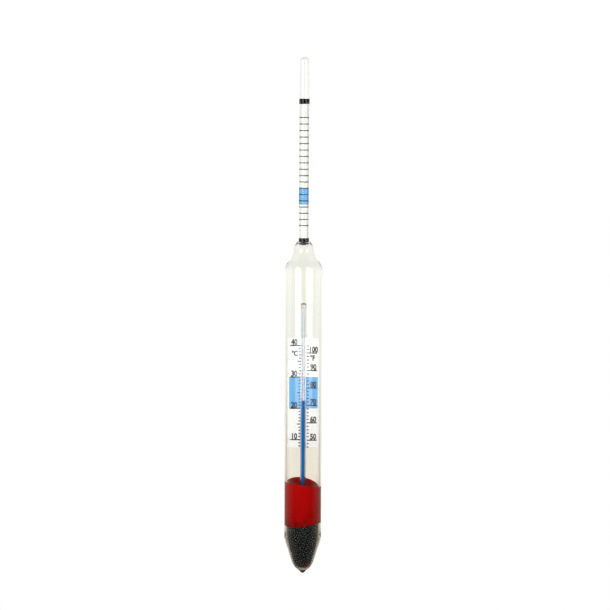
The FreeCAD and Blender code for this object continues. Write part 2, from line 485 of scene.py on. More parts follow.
def dyed_spirit(name):
    """Spirit dyed blue. The eye sees a clear deep colour, with painted shade darkening it down in the
    wax's cup.
    """
    material, tree, shader, way = new_material(name, {
        "Roughness": 0.3, "IOR": 1.36, "Specular IOR Level": 0.0})
    # Painted shade: the spirit darkens from 6 mm above the wax down into its cup.
    depth = mapped(tree, split(tree, way, "Z"), (WAX_TOP_Z - 2) * MM, (WAX_TOP_Z + 6) * MM)
    blue = colours().spirit
    paint(tree, shader, ramp(tree, depth, [(0.0, shade_of(blue, 0.35)), (1.0, blue)]))
    return material


def sealing_wax(name):
    """Shellac sealing wax, melted in. The eye sees strong red, with painted shade making it darker
    towards its bottom and in its cup.
    """
    material, tree, shader, way = new_material(name, {
        "Roughness": 0.4, "IOR": 1.48, "Specular IOR Level": 0.03})
    red, dark, shaded = colours().wax, colours().wax_dark, colours().wax_cup
    # Painted shade: the wax is darker towards its bottom and lighter towards its top.
    shade_by_height = mapped(tree, split(tree, way, "Z"), (WAX_BOTTOM_Z + 1) * MM, (WAX_TOP_Z - 1) * MM)
    # Darker clouds some 5 mm wide, which painted shade deepens towards the bottom.
    patched = maths(tree, "MULTIPLY_ADD", noise(tree, way, 190.0, 2.0), 1.5, shade_by_height)
    clouds_and_shade = ramp(tree, patched, [(0.55, dark), (0.85, shade_of(red, 0.62)),
                                   (1.0, shade_of(red, 0.78))])
    walls = mixed(tree, mapped(tree, patched, 1.0, 1.9), clouds_and_shade, red)
    # Drips about 0.8 mm wide down the cup, over painted shade that darkens the whole cup.
    drips = noise(tree, stretched(tree, way, (1200, 1200, 160)), 1.0, 3.0)
    cup = ramp(tree, drips, [(0.35, dark), (0.6, shade_of(shaded, 0.8)), (0.75, shaded)])
    flat = add_node(tree, "ShaderNodeVectorMath", {"operation": "MULTIPLY", 1: (1, 1, 0)}, {0: way})
    out = add_node(tree, "ShaderNodeVectorMath", {"operation": "LENGTH"},
                   {0: flat.outputs["Vector"]})
    at_wall = mapped(tree, out.outputs["Value"], (cavity_radius() - 0.35) * MM,
                     (cavity_radius() - 0.1) * MM)
    paint(tree, shader, mixed(tree, at_wall, cup, walls))
    roughen(tree, shader, drips, 0.4, 0.0001)
    return material


def dull_shot(name):
    """Steel shot, hardened and oxidised. The eye sees dark balls, each with a small grey glint."""
    material, tree, shader, way = new_material(name, {"Roughness": 0.36})
    patches = noise(tree, way, 800.0, 3.0)
    steel = colours().shot
    colour = ramp(tree, patches, [(0.35, shade_of(steel, 0.6)), (0.7, shade_of(steel, 1.6))])
    # Red wax stains on the balls.
    thick = mapped(tree, patches, 0.4, 0.6)
    for centre, reach in WAX_DRIPS:
        away = add_node(tree, "ShaderNodeVectorMath", {
            "operation": "DISTANCE", 1: [c * MM for c in centre]}, {0: way})
        near = mapped(tree, away.outputs["Value"], reach * MM, 0.5 * reach * MM)
        colour = mixed(tree, maths(tree, "MULTIPLY", near, thick), colour,
                       shade_of(colours().wax, 0.8))
    paint(tree, shader, colour)
    tree.links.new(mapped(tree, patches, 0.0, 1.0, 0.1, 0.6), shader.inputs["Metallic"])
    return material


def shared(name, make, *details):
    """The material of that name, made the first time it is asked for."""
    return bpy.data.materials.get(name) or make(name, *details)


def soda_lime_glass():
    return shared("drawn_soda_lime_glass", drawn_glass, colours().glass, 0.00003)


def capillary_glass():
    return shared("drawn_capillary_glass", drawn_glass, colours().capillary, 0.00001)


def black_ink():
    return shared("black_printing_ink", printing_ink, colours().ink)


def blue_ink():
    return shared("blue_printing_ink", printing_ink, colours().blue_ink)


# Outlines shared by several pieces, in millimetres


def cavity_radius():
    return BODY_RADIUS - sizes().body_wall / MM


def shoulder_outline(wide, narrow, end_z):
    points = [(wide, SHOULDER_Z)]
    for height, share in SHOULDER_SHAPE:
        points.append((narrow + share * (wide - narrow), SHOULDER_Z + height * SHOULDER_HEIGHT))
    points.append((narrow, end_z))
    return smooth_line(points, (0, 1), (-1, 1))


def foot_outline():
    points = [(0, 0)]
    for height, share in reversed(FOOT_SHAPE):
        points.append((share * BODY_RADIUS, height * FOOT_HEIGHT))
    points.append((BODY_RADIUS, FOOT_HEIGHT + FOOT_EASE))
    return [(min(r, BODY_RADIUS), z) for r, z in smooth_line(points, (1, 0), (0, 1))]


def cavity_foot_outline():
    radius = cavity_radius()
    points = [(CAVITY_FLOOR_SHARE * radius, FOOT_FLOOR)]
    for height, share in reversed(CAVITY_FOOT_SHAPE):
        points.append((share * radius, FOOT_FLOOR + height * (FOOT_HEIGHT - FOOT_FLOOR)))
    points.append((radius, FOOT_HEIGHT + FOOT_EASE))
    return [(min(r, radius), z) for r, z in smooth_line(points, (1, 0), (0, 1))]


def straight(radius, low, high, step):
    """Points up a straight wall, its two ends left out."""
    count = max(1, round(abs(high - low) / step))
    return [(radius, low + (high - low) * i / count) for i in range(1, count)]


# Operators, one for each piece or group of like pieces


class HYDROMETER_OT_float_glass(bpy.types.Operator):
    """Blows the float: foot, body, shoulder and weld, with the cavity inside"""

    bl_idname = "hydrometer.float_glass"
    bl_label = "Float glass"

    def execute(self, context):
        outer = foot_outline() + straight(BODY_RADIUS, FOOT_HEIGHT + FOOT_EASE, SHOULDER_Z, 3)
        outer += shoulder_outline(BODY_RADIUS, NECK_RADIUS, WELD_Z - WELD_HEIGHT)
        bead = smooth_line([(NECK_RADIUS, WELD_Z - WELD_HEIGHT),
                            (NECK_RADIUS - 0.05, WELD_Z - 0.25 * WELD_HEIGHT),
                            (STEM_RADIUS, WELD_Z)], (1, 1), (-1, 0.1), 8)
        inner = cavity_foot_outline()
        inner += straight(cavity_radius(), FOOT_HEIGHT + FOOT_EASE, SHOULDER_Z, 3)
        inner += shoulder_outline(cavity_radius(), NECK_RADIUS - NECK_WALL,
                                  WELD_Z - 0.5 * WELD_HEIGHT)
        inner += [(STEM_BORE + 0.2, WELD_Z - 0.14 * WELD_HEIGHT), (STEM_BORE, WELD_Z)]
        floor = [(0, FOOT_FLOOR)] + straight_floor(CAVITY_FLOOR_SHARE * cavity_radius())
        piece = turned(outer + bead[1:] + inner[::-1] + floor[::-1], 160)
        smooth_shading(piece)
        let_light_in(piece)
        finish_piece(piece, "float_glass", soda_lime_glass(), ["float_body"])
        return {"FINISHED"}


def straight_floor(radius):
    """Points along the cavity's flat floor, its two ends left out."""
    return [(radius * i / 4, FOOT_FLOOR) for i in range(1, 4)]


class HYDROMETER_OT_stem_glass(bpy.types.Operator):
    """Draws the stem tube and closes it with a dome"""

    bl_idname = "hydrometer.stem_glass"
    bl_label = "Stem glass"

    def execute(self, context):
        taper_z = TOP_Z - STEM_END_RADIUS - STEM_TAPER_LENGTH
        dome_z = TOP_Z - STEM_END_RADIUS
        seam = 0.01
        outer = [(STEM_RADIUS, WELD_Z + seam)]
        outer += straight(STEM_RADIUS, WELD_Z + seam, taper_z - 3, 3)
        outer += smooth_line([(STEM_RADIUS, taper_z - 3), (STEM_END_RADIUS + 0.07, dome_z - 3),
                              (STEM_END_RADIUS, dome_z)], (0, 1), (0, 1), 5)
        outer += rounded((0, dome_z), STEM_END_RADIUS, 6, 90, 14)
        bore_end = STEM_END_RADIUS - 0.45
        rise = (TOP_Z - DOME_WALL - dome_z) / bore_end
        inner = [(r, dome_z + (z - dome_z) * rise) for r, z
                 in rounded((0, dome_z), bore_end, 90, 0, 14)]
        inner += smooth_line([(bore_end, dome_z - 0.5), (bore_end + 0.07, dome_z - 3),
                              (STEM_BORE, taper_z - 3)], (0, -1), (0, -1), 5)
        inner += straight(STEM_BORE, taper_z - 3, WELD_Z + seam, 3)
        inner += [(STEM_BORE, WELD_Z + seam)]
        piece = turned(outer + inner + outer[:1], 96)
        smooth_shading(piece)
        let_light_in(piece)
        finish_piece(piece, "stem_glass", soda_lime_glass(), ["stem_tube"])
        return {"FINISHED"}


ROLL_PAPER = 0.12
ROLL_SEAM_AT = 25.0
ROLL_TUCK = 50.0
TUCK_DEPTH = 1.3 * ROLL_PAPER
NUMERALS_AT = 95.0
# The sheet springs out against the glass, and a hair into it, so that no air shows between them.
ROLL_RADIUS = STEM_BORE + 0.004


def roll_radius_at(turn):
    """The rolled sheet's outer radius after a turn in degrees from its free outer edge."""
    tuck = min(1.0, max(0.0, (turn - (360 - ROLL_TUCK)) / ROLL_TUCK))
    return ROLL_RADIUS - TUCK_DEPTH * tuck * tuck * (3 - 2 * tuck)


def on_roll(turn, height, lift=0.0):
    """A point on the rolled sheet, in metres, the turn going left to right as read outside."""
    radius = roll_radius_at(turn % 360.0001) + lift
    angle = math.radians(ROLL_SEAM_AT + turn)
    return Vector((radius * math.cos(angle), radius * math.sin(angle), height)) * MM


def rolled_strip(low, high, start, end, lift, steps):
    """A strip of sheet on the roll, drawn upright and extruded along the roll's turn."""
    strip = first_vertex(on_roll(start, low, lift))
    bpy.ops.mesh.extrude_vertices_move(
        TRANSFORM_OT_translate={"value": (0, 0, (high - low) * MM)})
    bpy.ops.mesh.select_all(action="SELECT")
    for step in range(steps):
        a = start + (end - start) * step / steps
        b = start + (end - start) * (step + 1) / steps
        move = roll_point(b, low, lift) - roll_point(a, low, lift)
        bpy.ops.mesh.extrude_region_move(TRANSFORM_OT_translate={"value": move})
    bpy.ops.object.mode_set(mode="OBJECT")
    return strip


def roll_point(turn, height, lift):
    """As on_roll, for turns past a whole one, where the sheet runs on inside itself."""
    if turn <= 360:
        return on_roll(min(turn, 360), height, lift)
    radius = ROLL_RADIUS - TUCK_DEPTH + lift
    angle = math.radians(ROLL_SEAM_AT + turn)
    return Vector((radius * math.cos(angle), radius * math.sin(angle), height)) * MM


def mark_height(mark):
    """The height of a density mark, counted from 0 at the top."""
    return FIRST_MARK_Z - FLOAT_LENGTH * (1 - 1 / (1 + mark * DENSITY_STEP))


class HYDROMETER_OT_density_scale(bpy.types.Operator):
    """Rolls the paper scale and prints its rings, its blue range and its numerals"""

    bl_idname = "hydrometer.density_scale"
    bl_label = "Density scale"

    def execute(self, context):
        self.roll_paper()
        self.print_rings()
        self.print_range()
        self.print_numerals()
        return {"FINISHED"}

    def roll_paper(self):
        sheet = rolled_strip(ROLL_LOW[2], ROLL_HIGH[2], 0, 360 + ROLL_TUCK - 5, -0.01, 90)
        face_out_from_axis(sheet)
        wall = sheet.modifiers.new("paper", "SOLIDIFY")
        wall.thickness = (ROLL_PAPER - 0.02) * MM
        wall.offset = -1
        apply_all(sheet)
        smooth_shading(sheet)
        paper = shared("rolled_scale_paper", coated_paper, colours().paper, 0.6)
        finish_piece(sheet, "density_paper", paper, ["density_scale"])

    def print_rings(self):
        half = sizes().ring_width / MM / 2
        rings = [rolled_strip(-half, half, 0, 359, 0.004, 72)]
        place_strip(rings[0], mark_height(0))
        for mark in range(1, MARK_COUNT):
            select_only(rings[0])
            bpy.ops.object.duplicate()
            place_strip(bpy.context.object, mark_height(mark) - mark_height(0))
            rings.append(bpy.context.object)
        ring = joined(rings)
        face_out_from_axis(ring)
        smooth_shading(ring)
        finish_piece(ring, "density_rings", black_ink())

    def print_range(self):
        strip = rolled_strip(mark_height(13) - 1.9, mark_height(11), 0, 359, 0.0, 72)
        face_out_from_axis(strip)
        smooth_shading(strip)
        finish_piece(strip, "density_blue_range", blue_ink())

    def print_numerals(self):
        numerals = []
        for mark in (2, 7, 12, 17):
            numeral = flat_text("1.0%02d" % (2 * (mark - 2)), 1.7, 0.75)
            wrap_on_roll(numeral, NUMERALS_AT - ROLL_SEAM_AT, mark_height(mark) + 0.4)
            numerals.append(numeral)
        numeral = joined(numerals)
        finish_piece(numeral, "density_numerals", black_ink())


def face_out_from_axis(sheet):
    """Turns the sheet over when its faces look towards the axis."""
    outward = sum(face.normal.dot(Vector((face.center.x, face.center.y, 0)))
                  for face in sheet.data.polygons)
    if outward < 0:
        turn_faces_over(sheet)


def place_strip(strip, height):
    """Moves a strip up by a height in millimetres and puts the move into its mesh."""
    select_only(strip)
    bpy.ops.transform.translate(value=(0, 0, height * MM))
    place(strip)


def flat_text(words, height, width_share, bold=0.0):
    """Numerals as a flat mesh, of a height in millimetres, their foot at the origin."""
    select_only()
    bpy.ops.object.text_add()
    text = bpy.context.object
    text.data.body = words
    text.data.align_x = "CENTER"
    text.data.size = (height - 2 * bold) * MM / 0.7
    text.data.resolution_u = 3
    text.data.offset = bold * MM
    bpy.ops.object.convert(target="MESH")
    text = bpy.context.object
    bpy.ops.transform.resize(value=(width_share, 1, 1))
    place(text)
    return text


def wrap_on_roll(text, turn, height):
    """Bends flat numerals round the roll, centred on a turn in degrees."""
    for vertex in text.data.vertices:
        bend = math.degrees(vertex.co.x / MM / ROLL_RADIUS)
        lift = 0.004
        vertex.co = roll_point(turn + bend, height + vertex.co.y / MM, lift)


class HYDROMETER_OT_cement_bands(bpy.types.Operator):
    """Melts the two black bands that hold the paper in the stem"""

    bl_idname = "hydrometer.cement_bands"
    bl_label = "Cement bands"

    def execute(self, context):
        low, high = UPPER_BAND_LOW[2], UPPER_BAND_HIGH[2]
        rim = 0.12
        contact = STEM_BORE + 0.02
        side = [(contact, low + rim)] + straight(contact, low + rim, high - rim, 0.3)
        self.band("cement_upper", low, high, side + [(contact, high - rim)],
                  "scale_band_upper", 11)
        low, high = LOWER_BAND_LOW[2], LOWER_BAND_HIGH[2]
        swell, swell_top = LOWER_BAND_HIGH[0], WELD_Z - 0.5 * WELD_HEIGHT - 0.15
        side = rounded((swell - 0.2, low + 0.2), 0.2, -80, 0, 4)
        side += rounded((swell - 0.2, swell_top - 0.2), 0.2, 0, 80, 4)
        side += [(STEM_BORE - 0.06, swell_top + 0.05), (STEM_BORE - 0.06, WELD_Z + 0.02),
                 (contact, WELD_Z + 0.1)]
        side += straight(contact, WELD_Z + 0.1, high - rim, 0.3) + [(contact, high - rim)]
        self.band("cement_lower", low, high, side, "scale_band_lower", 12)
        return {"FINISHED"}

    def band(self, name, low, high, side, node, seed):
        inner = ROLL_RADIUS + 0.006
        side = [(max(inner, radius), height) for radius, height in side]
        outline = [(inner, low)] + side + [(inner, high), (inner, low)]
        piece = turned(outline, 72)
        # The melted edge runs a little up and down round the tube.
        draw = random.Random(seed)
        phases = [draw.uniform(0, 2 * math.pi) for _ in range(3)]
        middle = (low + high) / 2 * MM
        for vertex in piece.data.vertices:
            angle = math.atan2(vertex.co.y, vertex.co.x)
            wave = sum(math.sin((i + 2) * angle + phase) for i, phase in enumerate(phases)) / 3
            share = (vertex.co.z - middle) / ((high - low) / 2 * MM)
            vertex.co.z -= 0.12 * MM * (0.5 + 0.5 * wave) * share ** 3
        smooth_shading(piece, 60)
        finish_piece(piece, name, shared("melted_pitch_cement", black_cement),
                     [node])


# The capillary's melted end: the height of its round, and its end's distance above the bore.
MELTED_END = 0.6
GLASS_OVER_BORE = 2.2


class HYDROMETER_OT_thermometer(bpy.types.Operator):
    """Draws the capillary, fills it with blue spirit and gives the buried bulb its materials"""

    bl_idname = "hydrometer.thermometer"
    bl_label = "Thermometer"

    def execute(self, context):
        self.capillary()
        self.spirit()
        for node, material in (("thermometer_bulb", capillary_glass()),
                               ("bulb_spirit", shared("blue_dyed_spirit", dyed_spirit))):
            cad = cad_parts[node]
            cad.data.materials.clear()
            cad.data.materials.append(material)
        return {"FINISHED"}

    def capillary(self):
        low, high = CAPILLARY_LOW[2], CAPILLARY_HIGH[2]
        bore = sizes().bore_radius / MM
        bore_top = high - GLASS_OVER_BORE
        outer = [(bore, low), (CAPILLARY_RADIUS, low)]
        outer += straight(CAPILLARY_RADIUS, low, high - CAPILLARY_RADIUS, 3)
        melt = MELTED_END / CAPILLARY_RADIUS
        outer += [(r, high + (z - high) * melt) for r, z
                  in rounded((0, high - CAPILLARY_RADIUS), CAPILLARY_RADIUS, 0, 90, 12)]
        inner = rounded((0, bore_top - bore), bore, 90, 0, 6)
        inner += straight(bore, bore_top - bore, low, 3) + [(bore, low)]
        piece = turned(outer + inner, 64)
        smooth_shading(piece)
        let_light_in(piece)
        finish_piece(piece, "capillary_tube", capillary_glass(),
                     ["thermometer_capillary"])

    def spirit(self):
        wet = sizes().bore_radius / MM + 0.008
        low, high = THREAD_LOW[2], MENISCUS_HIGH[2]
        wall = [(wet, low)] + straight(wet, low, high, 1.0) + [(wet, high)]
        hollow = [(wet * share, high - 0.3 * (1 - share ** 2)) for share in (0.8, 0.6, 0.4, 0.2, 0)]
        piece = turned([(0, low)] + wall + hollow, 48)
        smooth_shading(piece, 60)
        finish_piece(piece, "spirit_column", shared("blue_dyed_spirit", dyed_spirit),
                     ["spirit_thread", "spirit_meniscus"], body=None)
        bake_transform(piece)


def ruled_marks(left, right, first_z, step, count, width, front_y):
    """Printed marks on the card: one bar, repeated upwards."""
    select_only()
    bpy.ops.mesh.primitive_plane_add(size=MM, rotation=(math.pi / 2, 0, 0))
    bar = bpy.context.object
    bar.scale = ((right - left), width, 1)
    bar.location = ((left + right) / 2 * MM, front_y * MM, first_z * MM)
    place(bar)
    rows = bar.modifiers.new("rows", "ARRAY")
    rows.count = count
    rows.use_relative_offset = False
    rows.use_constant_offset = True
    rows.constant_offset_displace = (0, 0, step * MM)
    apply_all(bar)
    return bar


def celsius_z(degrees):
    return TWENTY_Z + DEGREE * (degrees - 20)


def fahrenheit_z(degrees):
    return celsius_z((degrees - 32) / 1.8) - FAHRENHEIT_DROP


# Where the card's numerals are centred, and how far above their lines they stand.
CELSIUS_X, FAHRENHEIT_X = -4.6, 5.1
NUMERAL_RISE = 0.45
# The blue range's two halves. The print leaves the strip behind the capillary white.
BLUE_HALVES = [(-7.25, -0.7), (0.7, 7.55)]


def card_rules():
    """The card's rows of marks, as left and right ends, first height, step and count."""
    return [
        (-2.35, -0.8, celsius_z(8), DEGREE, 33),
        (-3.1, -2.0, celsius_z(10), 5 * DEGREE, 7),
        (-6.8, -3.0, celsius_z(10), 10 * DEGREE, 4),
        (1.9, 2.8, fahrenheit_z(46), DEGREE / 0.9, 30),
        (2.7, 7.1, fahrenheit_z(50), DEGREE / 0.18, 6),
    ]


class HYDROMETER_OT_temperature_card(bpy.types.Operator):
    """Cuts the temperature card and prints both its scales"""

    bl_idname = "hydrometer.temperature_card"
    bl_label = "Temperature card"

    def execute(self, context):
        self.cut_card()
        front = CARD_LOW[1] - 0.012
        width = sizes().mark_width / MM
        marks = [ruled_marks(left, right, first_z, step, count, width, front)
                 for left, right, first_z, step, count in card_rules()]
        finish_piece(joined(marks), "card_marks", black_ink())
        words = [(str(t), CELSIUS_X, celsius_z(t) + NUMERAL_RISE, 1) for t in range(10, 41, 10)]
        words += [(str(t), FAHRENHEIT_X, fahrenheit_z(t) + NUMERAL_RISE, 1)
                  for t in range(50, 101, 10)]
        words += [("°C", -4.4, 111.3, 0.9), ("°F", 4.6, 109.0, 0.9)]
        texts = []
        for text, x, z, share in words:
            numeral = flat_text(text, sizes().numeral_height / MM * share, 0.8, 0.17)
            bpy.ops.transform.rotate(value=-math.pi / 2, orient_axis="X",
                                     center_override=(0, 0, 0))
            bpy.ops.transform.translate(value=(x * MM, front * MM, z * MM))
            place(numeral)
            texts.append(numeral)
        finish_piece(joined(texts), "card_numerals", black_ink())
        self.blue_range()
        return {"FINISHED"}

    def cut_card(self):
        select_only()
        bpy.ops.mesh.primitive_cube_add(size=MM)
        card = bpy.context.object
        card.scale = [high - low for low, high in zip(CARD_LOW, CARD_HIGH)]
        card.location = [(low + high) / 2 * MM for low, high in zip(CARD_LOW, CARD_HIGH)]
        place(card)
        edge = card.modifiers.new("cut edge", "BEVEL")
        edge.width = 0.03 * MM
        edge.segments = 2
        apply_all(card)
        smooth_shading(card)
        paper = shared("white_scale_card", coated_paper, colours().card, 0.45)
        finish_piece(card, "temperature_card", paper, ["thermometer_scale"])

    def blue_range(self):
        bars = [ruled_marks(left, right, (celsius_z(20) + celsius_z(30)) / 2, 0, 1,
                            celsius_z(30) - celsius_z(20), CARD_LOW[1] - 0.006)
                for left, right in BLUE_HALVES]
        finish_piece(joined(bars), "card_blue_range", blue_ink())


def bulb_outline(gap):
    """The buried bulb's side, from its foot up to the capillary."""
    radius = BULB_HIGH[0] + gap
    low, high = BULB_LOW[2] - gap, BULB_HIGH[2] + gap
    corner = 3.2 + gap
    outline = [(0, low)] + rounded((radius - corner, low + corner), corner, -90, 0, 8)
    outline += rounded((radius - corner, high - corner), corner, 0, 90, 8)
    return outline + [(CAPILLARY_RADIUS + gap, high)]


# The wax leans above the one height and below the other, and is upright between them.
WAX_LEANS_ABOVE, WAX_LEANS_BELOW = 34, 32


class HYDROMETER_OT_wax(bpy.types.Operator):
    """Pours the red wax round the bulb, cupped on top and uneven below"""

    bl_idname = "hydrometer.wax"
    bl_label = "Wax plug"

    def execute(self, context):
        contact = cavity_radius() + 0.008
        rim = cavity_radius() - WAX_RIM_WIDTH
        ball = (rim ** 2 + WAX_CUP_DEPTH ** 2) / (2 * WAX_CUP_DEPTH)
        cup = [(contact, WAX_TOP_Z + 0.15), (contact - 0.12, WAX_TOP_Z + 0.1)]
        for i in range(25):
            radius = CAPILLARY_RADIUS + (rim - CAPILLARY_RADIUS) * (1 - i / 24)
            cup.append((radius, WAX_TOP_Z - WAX_CUP_DEPTH + ball
                        - math.sqrt(ball ** 2 - radius ** 2)))
        bottom = [(contact * i / 12, WAX_BOTTOM_Z) for i in range(13)]
        wall = straight(contact, WAX_BOTTOM_Z, cup[0][1], 0.5)
        piece = turned(bottom + wall + cup + bulb_outline(0.01)[::-1], 128)
        self.settle(piece)
        smooth_shading(piece, 50)
        finish_piece(piece, "sealing_wax", shared("poured_sealing_wax", sealing_wax),
                     ["wax_plug"])
        return {"FINISHED"}

    def settle(self, piece):
        """Leans the top and the bottom as the wax set, and lets the bottom edge wander."""
        draw = random.Random(5)
        phases = [draw.uniform(0, 2 * math.pi) for _ in range(4)]
        for vertex in piece.data.vertices:
            x, y, z = (c / MM for c in vertex.co)
            reach = math.hypot(x, y)
            if reach < BULB_HIGH[0] + 0.1 and BULB_LOW[2] - 0.1 < z < BULB_HIGH[2] + 0.1:
                continue
            angle = math.atan2(y, x)
            top = min(1.0, max(0.0, (z - WAX_LEANS_ABOVE) / (WAX_TOP_Z - WAX_LEANS_ABOVE)))
            low = min(1.0, max(0.0, (WAX_LEANS_BELOW - z) / (WAX_LEANS_BELOW - WAX_BOTTOM_Z)))
            wander = sum(math.sin(n * angle + phase) / n ** 0.5
                         for n, phase in zip((2, 3, 5, 8), phases)) * reach / BODY_RADIUS
            rim = 0.6 * math.cos(2 * angle) * (reach / BODY_RADIUS) ** 2
            z += top * (x * WAX_TOP_LEAN_X + y * WAX_TOP_LEAN_Y - rim)
            z += low * (x * WAX_BOTTOM_LEAN_X + 0.3 * wander)
            vertex.co.z = z * MM


# The room below the wax in cubic millimetres, the share of it that balls fill, and how
# many times they are pushed apart.
SHOT_ROOM = 3240
SHOT_PACKING = 0.6
SETTLING_TURNS = 140


def settled_balls(radius, seed):
    """Centres of balls packed in the foot, up to the wax, in millimetres."""
    outline = np.array([(0, FOOT_FLOOR)] + straight_floor(CAVITY_FLOOR_SHARE * cavity_radius())
                       + cavity_foot_outline()
                       + straight(cavity_radius(), FOOT_HEIGHT + FOOT_EASE, 34, 0.3))
    edges = np.diff(outline, axis=0)
    normals = np.stack([-edges[:, 1], edges[:, 0]], axis=1)
    normals /= np.linalg.norm(normals, axis=1)[:, None]
    middles = (outline[1:] + outline[:-1]) / 2
    draw = np.random.default_rng(seed)
    count = int(SHOT_PACKING * SHOT_ROOM / (4 / 3 * math.pi * radius ** 3))
    balls = []
    while len(balls) < count:
        x, y = draw.uniform(-8, 8, 2)
        z = draw.uniform(FOOT_FLOOR, WAX_BOTTOM_Z)
        if math.hypot(x, y) < np.interp(z, outline[4:, 1], outline[4:, 0]) - 0.3:
            balls.append((x, y, z))
    balls = np.array(balls)
    for turn in range(SETTLING_TURNS):
        if turn % 5 == 0:
            tree = KDTree(len(balls))
            for i, ball in enumerate(balls):
                tree.insert(ball, i)
            tree.balance()
            pairs = np.array([(i, j) for i, ball in enumerate(balls)
                              for _, j, _ in tree.find_range(ball, 2.6 * radius) if i < j])
        apart = balls[pairs[:, 1]] - balls[pairs[:, 0]]
        distance = np.linalg.norm(apart, axis=1)
        push = np.clip(2 * radius - distance, 0, None) / 2 / np.maximum(distance, 1e-6)
        moves = apart * push[:, None]
        np.add.at(balls, pairs[:, 0], -moves * 0.9)
        np.add.at(balls, pairs[:, 1], moves * 0.9)
        reach = np.hypot(balls[:, 0], balls[:, 1])
        spot = np.stack([reach, balls[:, 2]], axis=1)
        nearest = np.argmin(((spot[:, None] - middles[None]) ** 2).sum(axis=2), axis=1)
        depth = ((spot - middles[nearest]) * normals[nearest]).sum(axis=1)
        short = np.clip(radius - depth, 0, None)
        shift = normals[nearest] * short[:, None]
        share = 1 + shift[:, 0] / np.maximum(reach, 1e-6)
        balls[:, 0] *= share
        balls[:, 1] *= share
        balls[:, 2] += shift[:, 1]
        ceiling = WAX_BOTTOM_Z + balls[:, 0] * WAX_BOTTOM_LEAN_X - 0.8 * radius
        balls[:, 2] = np.minimum(balls[:, 2], ceiling)
    return balls


class HYDROMETER_OT_shot(bpy.types.Operator):
    """Fills the foot with loose shot"""

    bl_idname = "hydrometer.shot"
    bl_label = "Shot"

    def execute(self, context):
        radius = sizes().ball_radius / MM
        select_only()
        bpy.ops.mesh.primitive_uv_sphere_add(segments=8, ring_count=6, radius=radius * MM)
        ball = bpy.context.object
        points = np.array([vertex.co for vertex in ball.data.vertices])
        faces = [tuple(face.vertices) for face in ball.data.polygons]
        bpy.ops.object.delete()
        draw = random.Random(9)
        vertices, polygons = [], []
        for centre in settled_balls(radius, 4):
            turn = Matrix.Rotation(draw.uniform(0, 6.28), 3, Vector(
                (draw.uniform(-1, 1), draw.uniform(-1, 1), draw.uniform(-1, 1))))
            grown = np.diag([draw.uniform(0.93, 1.0) for _ in range(3)])
            moved = points @ (np.array(turn) @ grown).T + centre * MM
            polygons += [tuple(len(vertices) + i for i in face) for face in faces]
            vertices += [tuple(p) for p in moved]
        mesh = bpy.data.meshes.new("steel_shot")
        mesh.from_pydata(vertices, [], polygons)
        heap = bpy.data.objects.new("steel_shot", mesh)
        bpy.context.scene.collection.objects.link(heap)
        smooth_shading(heap, 80)
        finish_piece(heap, "steel_shot", shared("oxidised_steel_shot", dull_shot),
                     ["ballast_shot"])
        return {"FINISHED"}


# The studio

CAMERA_ASIDE = 0.0007
CAMERA_DISTANCE = 0.817
CAMERA_HEIGHT = 0.233
CAMERA_PITCH = math.radians(6.7)
CAMERA_ROLL = math.radians(0.25)
CAMERA_LENS = 97.4

# The windows' distance and height in metres, and their light at the foot and higher up.
WINDOW_DISTANCE, WINDOW_HEIGHT = 0.38, 0.30
WINDOW_LOW, WINDOW_HIGH = 0.2, 2.1
SOFTBOX_PLACE = Vector((-0.1, -0.65, 0.2))
SOFTBOX_AIM = Vector((0, 0, 0.08))
SOFTBOX_ENERGY = 8.0
# The backdrop's colours, by the upward share of the way to them, and its light at the sides.
BACKDROP_BELOW, BACKDROP_ABOVE = -0.5, 0.0
BACKDROP_COLOURS = [(0.0, (0.3, 0.28, 0.25)), (0.5, (0.78, 0.7, 0.6)),
                    (0.565, (0.93, 0.86, 0.755)), (0.65, (0.885, 0.885, 0.825)),
                    (0.76, (0.91, 0.92, 0.86)), (0.83, (0.99, 0.99, 0.91)),
                    (1.0, (0.98, 0.985, 0.96))]
BACKDROP_SIDES = [(height, (light,) * 3) for height, light in
                  ((0.0, 0.4), (0.56, 0.5), (0.7, 0.8), (0.82, 0.88), (0.92, 0.75))]
BACKDROP_STRENGTH = 1.1


def glowing_material(name):
    """A material that gives white light. Returns it with its tree and its shader."""
    material = bpy.data.materials.new(name)
    material.use_nodes = True
    tree = material.node_tree
    tree.nodes.clear()
    glow = add_node(tree, "ShaderNodeEmission", {"Color": (1, 1, 1, 1), "Strength": 1.0})
    add_node(tree, "ShaderNodeOutputMaterial", None, {"Surface": glow.outputs["Emission"]})
    return material, tree, glow


